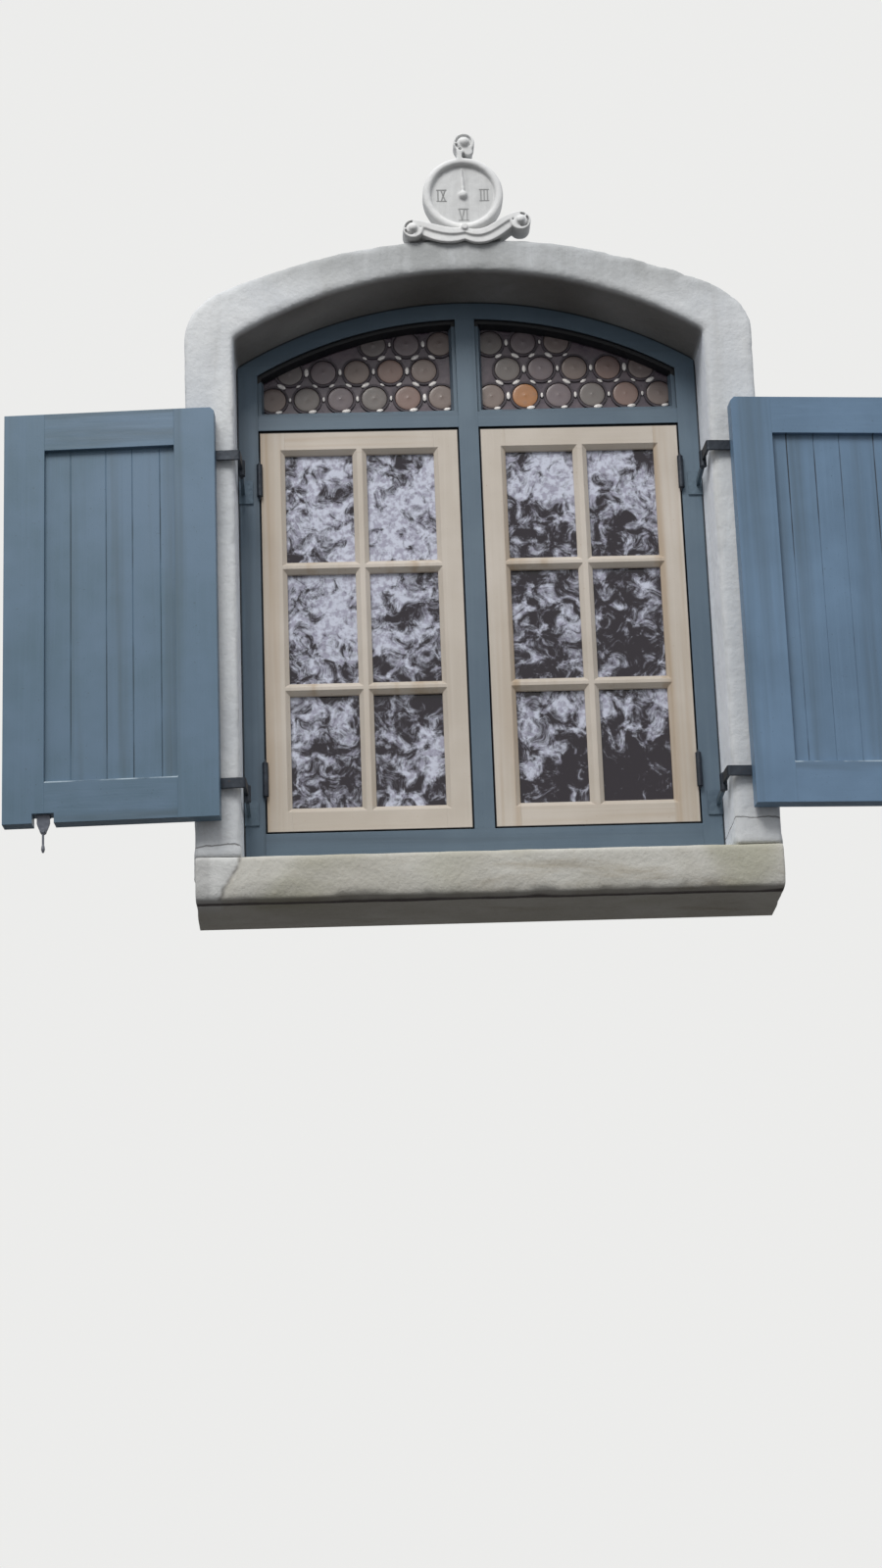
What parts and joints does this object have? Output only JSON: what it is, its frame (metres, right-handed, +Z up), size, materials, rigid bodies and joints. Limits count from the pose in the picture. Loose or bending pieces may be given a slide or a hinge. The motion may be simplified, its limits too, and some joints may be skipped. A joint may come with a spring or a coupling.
{
  "type": "shuttered window",
  "caption": "Arched casement window with leaded transom lights, boarded shutters held open, a rendered surround and sill, and a clock ornament over the crown.",
  "frame": {"origin": "middle of the sill's underside, in the front plane of the wooden frame", "axes": "+X across the window, +Y from the street into the room, +Z up"},
  "size_m": [2.208, 0.305, 1.928],
  "materials": {
    "render": "matt",
    "casting": "matt",
    "frame_paint": "satin",
    "casement_paint": "satin",
    "shutter_paint": "satin",
    "iron": "matt",
    "lead": "matt",
    "window_glass": "gloss",
    "roundel_glass": "gloss"
  },
  "bodies": {
    "window_frame": {"surround": "render", "sill": "render", "clock_ornament": "casting", "frame_head": "frame_paint", "frame_bottom_rail": "frame_paint", "frame_mullion": "frame_paint", "left_frame_jamb": "frame_paint", "left_frame_transom": "frame_paint", "left_light_glass": "roundel_glass", "left_light_leads": "lead", "left_light_beads": "frame_paint", "left_casement_hinge_frame_leaves": "iron", "left_casement_hinge_pins": "iron", "left_shutter_pintles": "iron", "right_frame_jamb": "frame_paint", "right_frame_transom": "frame_paint", "right_light_glass": "roundel_glass", "right_light_leads": "lead", "right_light_beads": "frame_paint", "right_casement_hinge_frame_leaves": "iron", "right_casement_hinge_pins": "iron", "right_shutter_pintles": "iron"},
    "left_casement": {"left_casement_hinge_stile": "casement_paint", "left_casement_meeting_stile": "casement_paint", "left_casement_top_rail": "casement_paint", "left_casement_bottom_rail": "casement_paint", "left_casement_glazing_bars": "casement_paint", "left_casement_panes": "window_glass", "left_casement_hinge_sash_leaves": "iron", "left_casement_handle_plate": "iron"},
    "left_handle": {"left_casement_handle": "iron"},
    "left_shutter": {"left_shutter_hinge_stile": "shutter_paint", "left_shutter_meeting_stile": "shutter_paint", "left_shutter_bottom_rail": "shutter_paint", "left_shutter_top_rail": "shutter_paint", "left_shutter_boards": "shutter_paint", "left_shutter_straps": "iron", "left_shutter_strap_screws": "iron", "left_shutter_catch_plate": "iron"},
    "left_drop_pin": {"left_shutter_drop_pin": "iron"},
    "right_casement": {"right_casement_hinge_stile": "casement_paint", "right_casement_meeting_stile": "casement_paint", "right_casement_top_rail": "casement_paint", "right_casement_bottom_rail": "casement_paint", "right_casement_glazing_bars": "casement_paint", "right_casement_panes": "window_glass", "right_casement_hinge_sash_leaves": "iron", "right_casement_handle_plate": "iron"},
    "right_handle": {"right_casement_handle": "iron"},
    "right_shutter": {"right_shutter_hinge_stile": "shutter_paint", "right_shutter_meeting_stile": "shutter_paint", "right_shutter_bottom_rail": "shutter_paint", "right_shutter_top_rail": "shutter_paint", "right_shutter_boards": "shutter_paint", "right_shutter_straps": "iron", "right_shutter_strap_screws": "iron", "right_shutter_catch_plate": "iron"},
    "right_drop_pin": {"right_shutter_drop_pin": "iron"}
  },
  "joints": [
    {"name": "left_shutter_swing", "type": "hinge", "parent": "window_frame", "child": "left_shutter", "pos_m": [-0.55, -0.1205, 0.692], "axis": [0, 0, -1], "range_deg": [-183.5, 0]},
    {"name": "left_casement_swing", "type": "hinge", "parent": "window_frame", "child": "left_casement", "pos_m": [-0.5095, -0.0074, 0.717], "axis": [0, 0, -1], "range_deg": [0, 90]},
    {"name": "left_handle_turn", "type": "hinge", "parent": "left_casement", "child": "left_handle", "pos_m": [-0.062, 0.06, 0.6665], "axis": [0, 1, 0], "range_deg": [-90, 0]},
    {"name": "left_drop_pin_swing", "type": "hinge", "parent": "left_shutter", "child": "left_drop_pin", "pos_m": [-1.01077, -0.19281, 0.173], "axis": [-0.061, -0.9981, 0], "range_deg": [-70, 70]},
    {"name": "right_shutter_swing", "type": "hinge", "parent": "window_frame", "child": "right_shutter", "pos_m": [0.55, -0.1205, 0.692], "axis": [0, 0, 1], "range_deg": [-183.5, 0]},
    {"name": "right_casement_swing", "type": "hinge", "parent": "window_frame", "child": "right_casement", "pos_m": [0.5095, -0.0074, 0.717], "axis": [0, 0, 1], "range_deg": [0, 90]},
    {"name": "right_handle_turn", "type": "hinge", "parent": "right_casement", "child": "right_handle", "pos_m": [0.062, 0.06, 0.6665], "axis": [0, -1, 0], "range_deg": [-90, 0]},
    {"name": "right_drop_pin_swing", "type": "hinge", "parent": "right_shutter", "child": "right_drop_pin", "pos_m": [1.01077, -0.19281, 0.173], "axis": [0.061, -0.9981, 0], "range_deg": [-70, 70]}
  ]
}
